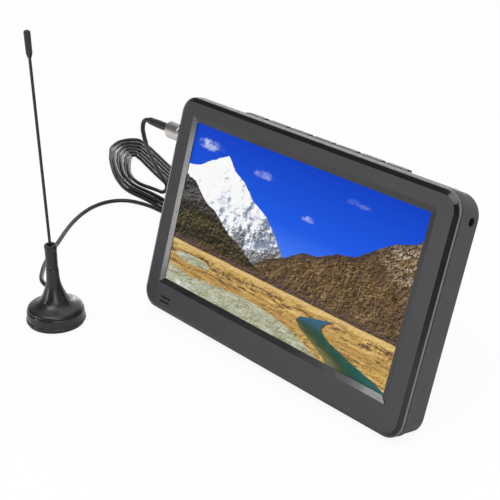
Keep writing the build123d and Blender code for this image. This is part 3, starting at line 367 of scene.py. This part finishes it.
class Valley(Net):
    """The lit panel's picture, a mountain valley painted from the sky forwards.

    across and up run 0 to 1 over the picture. wide is across in units of the picture's height.
    Each layer takes the picture so far and returns it with the layer laid over.
    """
    HALF_WIDTH = 79.3                  # mm either side of the face's middle
    BOTTOM, TOP = 16.6, 104.6          # mm up the face
    ASPECT = 1.82
    STRIPE_PITCH = 0.193               # mm
    BRIGHTNESS = 1.0

    def __init__(self, owner):
        super().__init__(owner)
        x, y = self.face
        self.across = x.remap(-self.HALF_WIDTH, self.HALF_WIDTH)
        self.up = y.remap(self.BOTTOM, self.TOP)
        self.wide = self.across * self.ASPECT
        self.flat = self.vector(self.wide, self.up)
        self.grit = self.relief(self.flat, 40.0, detail=5.0, rough=0.72, reach=0.003, span=0.075)

    def shake(self, scale, size, detail=5.0):
        """A ragged offset for an outline."""
        return (self.noise(self.flat, scale, detail, rough=0.62) - 0.5) * size

    def relief(self, where, scale, detail, rough, reach=0.012, span=0.055):
        """0 on ground that faces down to the right, 1 on ground that faces up to the left."""
        here = self.noise(where, scale, detail, rough)
        up_left = self.vector_math("ADD", where, (-reach, reach * 0.9, 0.0))
        there = self.noise(up_left, scale, detail, rough)
        return (here - there).remap(-span, span)

    def streaks(self, stretch_across, stretch_up, layer, **settings):
        """Noise stretched over the picture; layer picks an independent slice of it."""
        where = self.vector(self.across * stretch_across, self.up * stretch_up, layer)
        return self.noise(where, **settings)

    def sky(self):
        """Blue, deeper overhead, with a few thin clouds."""
        # centre across and up, radius across and up, thickness
        clouds = (
            (0.085, 0.885, 0.070, 0.042, 1.0), (0.345, 0.835, 0.055, 0.030, 0.55),
            (0.560, 0.700, 0.040, 0.022, 0.8), (0.73, 0.88, 0.07, 0.020, 0.25),
        )
        cover = None
        for centre_across, centre_up, radius_across, radius_up, thickness in clouds:
            side = (self.across - centre_across) * (1 / radius_across)
            rise = (self.up - centre_up) * (1 / radius_up)
            near = 1.0 - (side * side + rise * rise)
            wisp = self.noise(self.vector(self.wide * 0.8, self.up * 1.3, 1.0),
                              scale=20.0, detail=6.0, rough=0.66, twist=0.6)
            puff = (near + (wisp - 0.5) * 3.4).smooth(0.25, 1.7) * thickness
            cover = puff if cover is None else self.math("MAXIMUM", cover, puff)
        blue = self.up.ramp((0.40, (0.070, 0.230, 0.960)), (0.62, (0.010, 0.105, 0.800)),
                            (1.0, (0.002, 0.048, 0.560)))
        return self.mix(cover, blue, (0.74, 0.82, 0.95))

    def snow_mountain(self, picture):
        """Sunlit snow above, bare rock lower down and on the right shoulder."""
        across, up, wide, grit = self.across, self.up, self.wide, self.grit
        ridge = across.curve(
            (0.0, 0.735), (0.05, 0.748), (0.10, 0.800), (0.175, 0.866), (0.215, 0.800),
            (0.27, 0.752), (0.33, 0.668), (0.39, 0.625), (0.44, 0.548), (0.50, 0.440),
            (1.0, 0.1)) + self.shake(15.0, 0.030)
        slab = self.vector(wide + up * 0.45, up - wide * 0.35)
        shape = self.relief(slab, 6.0, detail=8.0, rough=0.60, reach=0.016, span=0.085)
        height = (up - 0.62) - (across - 0.2) * 1.1
        sun = (shape * 0.70 + grit * 0.30) + (0.17 + height * 1.1)
        snow = sun.ramp((0.22, (0.20, 0.24, 0.33)), (0.38, (0.52, 0.58, 0.70)),
                        (0.50, (0.86, 0.89, 0.94)), (0.60, (0.99, 0.99, 0.99)),
                        (1.0, (1.0, 1.0, 1.0)))
        crag = self.noise(slab, scale=12.0, detail=8.0, rough=0.72, twist=0.35)
        low = 0.565 - (up - (across - 0.2) * 0.30)
        bare = (low * 2.4 + (crag - 0.5) * 2.6 + (0.5 - shape) * 0.35).smooth(0.30, 0.46)
        stone = (grit * 0.6 + crag * 0.4).ramp(
            (0.30, (0.020, 0.021, 0.028)), (0.46, (0.085, 0.083, 0.090)),
            (0.60, (0.25, 0.245, 0.25)), (0.75, (0.52, 0.52, 0.53)))
        mountain = self.mix(bare * 0.92, snow, stone)
        return self.mix((ridge - up).smooth(0.0, 0.004), picture, mountain)

    def right_slope(self, picture):
        """Brown earth and shrubs rising to the right edge, with rock at the top right."""
        across, up, wide, grit = self.across, self.up, self.wide, self.grit
        slope = across.curve(
            (0.0, 0.2), (0.36, 0.315), (0.43, 0.400), (0.50, 0.448), (0.57, 0.520),
            (0.63, 0.535), (0.70, 0.592), (0.77, 0.618), (0.84, 0.705), (0.90, 0.770),
            (0.96, 0.800), (1.0, 0.850)) + self.shake(30.0, 0.026)
        lean = self.vector(wide + up * 0.9, (up - wide * 0.36) * 2.4)
        light = self.relief(lean, 5.0, detail=8.0, rough=0.62, span=0.13) * 0.60 + grit * 0.40
        earth = light.ramp(
            (0.22, (0.014, 0.010, 0.007)), (0.42, (0.068, 0.042, 0.019)),
            (0.54, (0.140, 0.086, 0.036)), (0.68, (0.28, 0.180, 0.075)),
            (0.88, (0.58, 0.40, 0.20)))
        tract = self.noise(lean, scale=2.6, detail=4.0, rough=0.6, twist=0.5)
        earth = self.mix(tract.smooth(0.50, 0.64) * 0.55, earth, grit.ramp(
            (0.3, (0.035, 0.020, 0.016)), (0.7, (0.15, 0.085, 0.062))))
        growth = self.noise(lean, scale=3.4, detail=4.0, rough=0.6, twist=0.2)
        shrub = (self.cells(self.vector(wide, up * 1.25), scale=62.0)
                 < growth.smooth(0.46, 0.70) * 0.44)
        earth = self.mix(shrub * 0.85, earth, grit.ramp(
            (0.3, (0.006, 0.010, 0.004)), (0.8, (0.045, 0.052, 0.014))))
        broken = self.noise(lean, scale=9.0, detail=6.0, rough=0.7, twist=0.9)
        top_right = ((across - 0.85) * 2.6 + (up - 0.60) * 2.2).smooth(0.0, 0.45)
        rock = self.relief(lean, 16.0, detail=5.0, rough=0.7, reach=0.006) * 0.6 + grit * 0.4
        earth = self.mix(top_right * broken.smooth(0.43, 0.52), earth, rock.ramp(
            (0.28, (0.015, 0.012, 0.010)), (0.46, (0.16, 0.115, 0.075)),
            (0.60, (0.40, 0.30, 0.20)), (0.78, (0.72, 0.58, 0.42))))
        # darker along the skyline
        earth = self.mix((slope - up).smooth(0.06, 0.0) * 0.6, earth, (0.042, 0.034, 0.031))
        return self.mix((slope - up).smooth(0.0, 0.004), picture, earth)

    def left_slope(self, picture):
        """Grey rock above, dark evergreens and olive scrub below."""
        across, up, wide, grit = self.across, self.up, self.wide, self.grit
        spur = across.curve(
            (0.0, 0.672), (0.05, 0.650), (0.11, 0.560), (0.17, 0.525), (0.24, 0.440),
            (0.31, 0.395), (0.38, 0.330), (0.46, 0.295), (0.60, 0.25),
            (1.0, 0.2)) + self.shake(26.0, 0.030)
        down = self.vector(wide - up * 0.6, (up + wide * 0.42) * 1.8, 1.0)
        dim = self.relief(down, 5.0, detail=8.0, rough=0.64, span=0.11) * 0.55 + grit * 0.45
        scrub = dim.ramp((0.26, (0.004, 0.004, 0.003)), (0.46, (0.018, 0.015, 0.008)),
                         (0.60, (0.060, 0.048, 0.020)), (0.80, (0.20, 0.16, 0.07)))
        rock = dim.ramp((0.30, (0.007, 0.007, 0.008)), (0.50, (0.040, 0.036, 0.036)),
                        (0.74, (0.20, 0.185, 0.175)))
        ground = self.mix(up.smooth(0.43, 0.56), scrub, rock)
        growth = self.noise(down, scale=3.0, detail=4.0, rough=0.6).smooth(0.40, 0.62)
        wood = (self.cells(self.vector(wide * 1.3, up, 3.0), scale=58.0)
                < up.smooth(0.54, 0.47) * growth * 0.60)
        ground = self.mix(wood * 0.85, ground, grit.ramp(
            (0.3, (0.004, 0.007, 0.003)), (0.8, (0.040, 0.052, 0.012))))
        return self.mix((spur - up).smooth(0.0, 0.004), picture, ground)

    def russet_brush(self, picture):
        """Brush along the valley floor."""
        foot = 0.325 + self.shake(9.0, 0.030)
        tufts = self.streaks(3.0, 9.0, 0.0, scale=9.0, detail=6.0, rough=0.7)
        russet = (tufts * 0.5 + self.grit * 0.5).ramp(
            (0.36, (0.034, 0.019, 0.013)), (0.52, (0.095, 0.055, 0.036)),
            (0.68, (0.20, 0.125, 0.085)))
        return self.mix((foot - self.up).smooth(0.0, 0.035) * 0.9, picture, russet)

    def meadow(self, picture):
        """Golden grass: pale far edge, mown streaks, red tussocks, dark cut banks."""
        up, grit = self.up, self.grit
        level = 0.274 + self.shake(5.0, 0.012, detail=3.0)
        mown = self.streaks(2.4, 15.0, 0.0, scale=4.5, detail=7.0, rough=0.66, twist=0.5)
        grass = (mown * 0.82 + grit * 0.18).ramp(
            (0.34, (0.25, 0.130, 0.030)), (0.46, (0.50, 0.300, 0.075)),
            (0.56, (0.70, 0.46, 0.145)), (0.70, (0.90, 0.69, 0.32)))
        grass = self.mix(up.smooth(0.232, 0.262) * 0.5, grass, (0.86, 0.64, 0.28))
        middle = abs(up - 0.135).smooth(0.045, 0.01)
        grass = self.mix(middle * 0.45, grass, (0.40, 0.215, 0.060))
        hummock = self.streaks(4.2, 13.0, 2.0, scale=3.4, detail=6.0, rough=0.68, twist=0.3)
        belt = abs(up - (0.205 + self.shake(3.0, 0.05))).smooth(0.040, 0.018)
        tussock = hummock.smooth(0.53, 0.58) * belt
        grass = self.mix(tussock * 0.9, grass, grit.ramp(
            (0.35, (0.055, 0.018, 0.012)), (0.60, (0.20, 0.085, 0.050)),
            (0.8, (0.36, 0.20, 0.12))))
        contour = abs(self.streaks(1.7, 9.0, 5.0, scale=2.2, detail=5.0, rough=0.6) - 0.5)
        bank = contour.smooth(0.018, 0.006) * up.smooth(0.250, 0.225)
        grass = self.mix(bank * 0.85, grass, (0.055, 0.030, 0.014))
        return self.mix((level - up).smooth(0.0, 0.006), picture, grass)

    def gravel(self, picture):
        """A pale frosted flat in the near left corner and a tongue of it further back."""
        across, up = self.across, self.up
        edge = across.curve(
            (0.0, 0.120), (0.10, 0.100), (0.24, 0.118), (0.38, 0.135), (0.52, 0.118),
            (0.62, 0.080), (0.72, 0.020), (0.78, 0.0), (1.0, 0.0)) + self.shake(8.0, 0.022)
        stones = self.streaks(3.0, 10.0, 7.0, scale=5.0, detail=6.0, rough=0.65, twist=0.5)
        wet = (stones * 0.75 + self.grit * 0.25).ramp(
            (0.34, (0.22, 0.21, 0.12)), (0.48, (0.40, 0.41, 0.27)),
            (0.60, (0.56, 0.58, 0.45)), (0.76, (0.76, 0.78, 0.68)))
        oval = 1.0 - (((across - 0.115) * 11.0) ** 2.0 + ((up - 0.190) * 36.0) ** 2.0)
        tongue = (oval + self.shake(12.0, 1.8)).smooth(0.0, 0.12)
        damp = self.math("MAXIMUM", (edge - up).smooth(0.0, 0.016), tongue)
        picture = self.mix(damp, picture, wet)
        crust = self.streaks(4.0, 9.0, 9.0, scale=5.0, detail=6.0, rough=0.72)
        corner = across.smooth(0.24, 0.06) * up.smooth(0.075, 0.02)
        return self.mix(crust.smooth(0.47, 0.60) * corner * 0.9, picture, (0.86, 0.88, 0.86))

    def stream(self, picture):
        """It bends in from the far bank and widens towards the near right corner."""
        up = self.up
        middle = up.curve(
            (0.0, 0.885), (0.04, 0.835), (0.08, 0.760), (0.12, 0.690), (0.155, 0.655),
            (0.185, 0.660), (0.210, 0.700), (0.235, 0.745),
            (1.0, 0.745)) + self.shake(10.0, 0.014)
        half = up.curve(
            (0.0, 0.125), (0.04, 0.105), (0.08, 0.080), (0.12, 0.062), (0.155, 0.055),
            (0.185, 0.046), (0.205, 0.028), (0.230, 0.008), (0.240, 0.0), (1.0, 0.0))
        side = self.across - middle
        away = abs(side) + self.shake(34.0, 0.010)
        reach = up.smooth(0.240, 0.232)
        depth = (side + half) * 4.2 + (up - 0.05) * 1.6      # shallow along the near left bank
        flow = self.streaks(2.0, 16.0, 0.0, scale=5.0, detail=5.0, rough=0.6, twist=0.4)
        water = (depth + (flow - 0.5) * 0.5).ramp(
            (0.05, (0.17, 0.17, 0.075)), (0.28, (0.045, 0.062, 0.022)),
            (0.50, (0.012, 0.075, 0.050)), (0.75, (0.014, 0.110, 0.095)),
            (1.0, (0.030, 0.130, 0.150)))
        water = self.mix(up.smooth(0.14, 0.20), water, (0.035, 0.120, 0.210))
        glint = self.streaks(5.0, 40.0, 0.0, scale=5.0, detail=5.0, rough=0.6, twist=0.4)
        water = self.mix(glint.smooth(0.56, 0.70) * 0.55, water, (0.10, 0.26, 0.26))
        shore = ((half + 0.007) - away).smooth(0.0, 0.003) * reach
        right_bank = shore * side.smooth(0.0, 0.02)
        picture = self.mix(right_bank * 0.85, picture, (0.050, 0.034, 0.016))
        return self.mix((half - away).smooth(0.0, 0.004) * reach, picture, water)

    def panel(self, picture):
        """Fine upright stripes over the picture, and black beyond it and off the front."""
        across, up = self.across, self.up
        wave = self.math("SINE", self.face[0] * (2 * math.pi / self.STRIPE_PITCH))
        picture = self.scaled(picture, 0.985 + wave * 0.015)
        inside = ((across.smooth(0.0005, 0.002) * across.smooth(0.9995, 0.998))
                  * (up.smooth(0.0005, 0.003) * up.smooth(0.9995, 0.997)))
        front = self.dot(self.normal, tuple(FACE_Z)) > 0.9
        mottle = self.noise(self.place, scale=2.0)
        black = self.mix(mottle * 0.2, (0.002, 0.002, 0.002), (0.004, 0.004, 0.0045))
        return self.surface(
            Base_Color=black, Roughness=mottle.remap(0.3, 0.7, 0.42, 0.55),
            Specular_IOR_Level=0.02, Emission_Color=picture,
            Emission_Strength=inside * front * self.BRIGHTNESS)


def lit_panel(name):
    net = Valley(bpy.data.materials.new(name))
    picture = net.sky()
    for layer in (net.snow_mountain, net.right_slope, net.left_slope, net.russet_brush,
                  net.meadow, net.gravel, net.stream):
        picture = layer(picture)
    return net.finish(net.panel(picture))


finishes = {}
for family, table in ((moulded, MOULDED), (gloss, GLOSS), (rubber, RUBBER), (metal, METAL)):
    for name, values in table.items():
        finishes[name] = family(name, *values)
for single in (circuit_board, clear_window, lit_panel):
    finishes[single.__name__] = single(single.__name__)

# ----------------------------------------------------------------------------
# which piece wears what; keys wear key_matte, any other unlisted piece black_plastic
# ----------------------------------------------------------------------------
WEARERS = {
    "front_matte": "front_bezel",
    "housing_matte": "rear_housing",
    "stand_matte": "kickstand",
    "clear_window": "screen_window",
    "lit_panel": "lcd_glass",
    "circuit_board": "main_board key_board",
    "rubber_black": "foot_strip speaker_gaskets kickstand_sleeve base_pad base_grommet plug_boot",
    "tape_black": "window_tape",
    "lead_red": "battery_lead",
    "lead_sheath": "aerial_lead",
    "cone_paper": "speaker_cones",
    "white_insulator": "light_guide key_ribbon plug_insulator",
    "yellow_plastic": "av_jack",
    "polyimide": "panel_ribbon",
    "battery_film": "battery_pack",
    "bell_gloss": "ir_window aerial_base base_ring",
    "whip_gloss": "whip_collar whip_rod whip_tip",
    "pressed_steel": "backlight_tray board_screws speaker_left speaker_right kickstand_pin "
                     "base_plate",
    "tin_plate": "tuner_can usb_socket",
    "cast_alloy": "heat_spreader board_capacitors",
    "brass_plate": "coax_socket neck_stud plug_pin",
    "nickel_plate": "plug_shell",
    "screw_black_oxide": "case_screws",
    "sintered_magnet": "base_magnet",
}
finish_of = {piece: finish for finish, pieces in WEARERS.items() for piece in pieces.split()}
SMOOTH_BELOW = math.radians(28)
for name, piece in nodes.items():
    finish = "key_matte" if name.endswith("_key") else finish_of.get(name, "black_plastic")
    piece.data.materials.clear()
    piece.data.materials.append(finishes[finish])
    piece.data.shade_smooth()
    piece.data.set_sharp_from_angle(angle=SMOOTH_BELOW)

# the bezel's material slots, the flat front first; the rounded rim's pale grey slot is a painted
# highlight
BEZEL_SLOTS = ("front_matte", "rim_gloss", "rim_band", "screen_bevel", "rim_corner")


def bezel_finish(x, y, z, out):
    """Finish at a place on the face in mm; out is how far the surface faces out of it, -1 to 1."""
    outer = abs(x) > 88.0 or y > 111.5 or y < 4.0
    inner = abs(x) < 82.0 and 13.5 < y < 107.5
    # the rounded rim between chamfer and side band: pale grey, a painted highlight line
    if outer and -2.9 < z < -1.0 and 0.12 < out < 0.72:
        return "rim_corner"
    if outer and z > -2.6 and 0.15 < out < 0.985:
        return "rim_gloss"
    if outer and z > -2.7 and abs(out) <= 0.15:
        return "rim_band"
    if inner and z > -2.6 and out < 0.985:
        return "screen_bevel"
    return "front_matte"


bezel = nodes["front_bezel"].data
for finish in BEZEL_SLOTS[1:]:
    bezel.materials.append(finishes[finish])
for polygon in bezel.polygons:
    offset = Vector(polygon.center) - ORIGIN
    x, y, z = (offset.dot(axis) * 1000 for axis in (FACE_X, FACE_Y, FACE_Z))
    finish = bezel_finish(x, y, z, polygon.normal.dot(FACE_Z))
    polygon.material_index = BEZEL_SLOTS.index(finish)

# the flat front meets its neighbours at a crease
crease = (bezel.attributes.get("sharp_edge")
          or bezel.attributes.new("sharp_edge", "BOOLEAN", "EDGE"))
slots_at = {}
for polygon in bezel.polygons:
    for key in polygon.edge_keys:
        slots_at.setdefault(key, set()).add(polygon.material_index)
for edge in bezel.edges:
    slots = slots_at.get(edge.key, set())
    if 0 in slots and len(slots) > 1:
        crease.data[edge.index].value = True


# ----------------------------------------------------------------------------
# stage: pale floor, soft light, camera
# ----------------------------------------------------------------------------
def soft_world():
    """White to the camera; as light, brighter towards +y, low down and overhead."""
    world = bpy.data.worlds.new("studio")
    scene.world = world
    net = Net(world, "ShaderNodeOutputWorld")
    ray = net.node("ShaderNodeTexCoord", output="Generated")
    axes = net.node("ShaderNodeSeparateXYZ", {0: ray}).socket.node.outputs
    ray_y, ray_z = Signal(net, axes[1]), Signal(net, axes[2])
    back = ray_y.smooth(-0.30, 0.80)
    low_down = ray_z.smooth(0.45, 0.05)
    overhead = ray_z.smooth(0.72, 1.0)
    level = back * 0.80 + (0.16 + low_down * 0.16) + overhead * 0.9
    to_camera = net.node("ShaderNodeLightPath", output="Is Camera Ray")
    strength = net.mix_number(to_camera, level, 1.0)
    net.finish(net.node("ShaderNodeBackground", {0: 1.0, 1: strength}))


def floor():
    """A wide sheet just below z = 0, nearly white to the camera and matte to other rays."""
    size = 30.0
    mesh = bpy.data.meshes.new("floor")
    corners = [(-size, -size, 0), (size, -size, 0), (size, size, 0), (-size, size, 0)]
    mesh.from_pydata(corners, [], [(0, 1, 2, 3)])
    sheet = bpy.data.objects.new("floor", mesh)
    scene.collection.objects.link(sheet)
    sheet.location.z = -0.0002
    net = material_net("floor_paper")
    paper = net.node("ShaderNodeBsdfDiffuse", {"Color": 0.80})
    glow = net.node("ShaderNodeEmission", {"Color": 1.0, "Strength": 1.015})
    to_camera = net.node("ShaderNodeLightPath", output="Is Camera Ray")
    share = net.mix_number(to_camera, 0.02, 0.89)
    mesh.materials.append(net.finish(net.mix_shader(share, paper, glow)))


def softbox(name, place, aim, size, power, colour):
    data = bpy.data.lights.new(name, "AREA")
    data.shape = "RECTANGLE"
    data.size, data.size_y = size
    data.energy = power
    data.color = colour
    lamp = bpy.data.objects.new(name, data)
    scene.collection.objects.link(lamp)
    lamp.location = place
    lamp.rotation_mode = "QUATERNION"
    lamp.rotation_quaternion = (Vector(aim) - Vector(place)).to_track_quat("-Z", "Y")
    lamp.visible_camera = False


# name, place, aim, size (m), power (W), colour
SOFTBOXES = (
    ("key", (0.15, -0.75, 1.35), (0, 0, 0.05), (1.1, 0.8), 9.0, (0.97, 0.98, 1.0)),
    ("fill", (1.1, -0.6, 0.7), (0, 0, 0.05), (0.8, 0.8), 5.0, (1, 1, 1)),
    ("far_left", (-1.05, 1.15, 0.16), (0, 0, 0.06), (1.1, 0.36), 4.2, (0.98, 0.99, 1.0)),
    ("front_slit", (-0.55, -1.41, 0.165), (-0.079, 0.012, 0.06), (0.42, 0.26), 2.3, (1, 1, 1)),
    ("near_corner", (-0.70, -1.23, 0.50), (0.072, -0.01, 0.018), (0.20, 0.20), 1.3, (1, 1, 1)),
)
CAMERA_PLACE = (0.36314, -0.339791, 0.303502)
CAMERA_RIGHT = (0.67339, 0.73928, 0.0)
CAMERA_FORWARD = (-0.66583, 0.60648, -0.43458)


def add_camera():
    camera = bpy.data.objects.new("camera", bpy.data.cameras.new("camera"))
    scene.collection.objects.link(camera)
    right = Vector(CAMERA_RIGHT).normalized()
    forward = Vector(CAMERA_FORWARD).normalized()
    up = right.cross(forward).normalized()
    turn = Matrix((right, up, -forward)).transposed().to_4x4()
    camera.matrix_world = Matrix.Translation(CAMERA_PLACE) @ turn
    camera.data.sensor_width = 36
    camera.data.lens = 83.90
    camera.data.clip_start = 0.01
    camera.data.clip_end = 60
    scene.camera = camera


soft_world()
floor()
for box in SOFTBOXES:
    softbox(*box)
add_camera()
scene.view_settings.view_transform = "Standard"
scene.view_settings.look = "None"
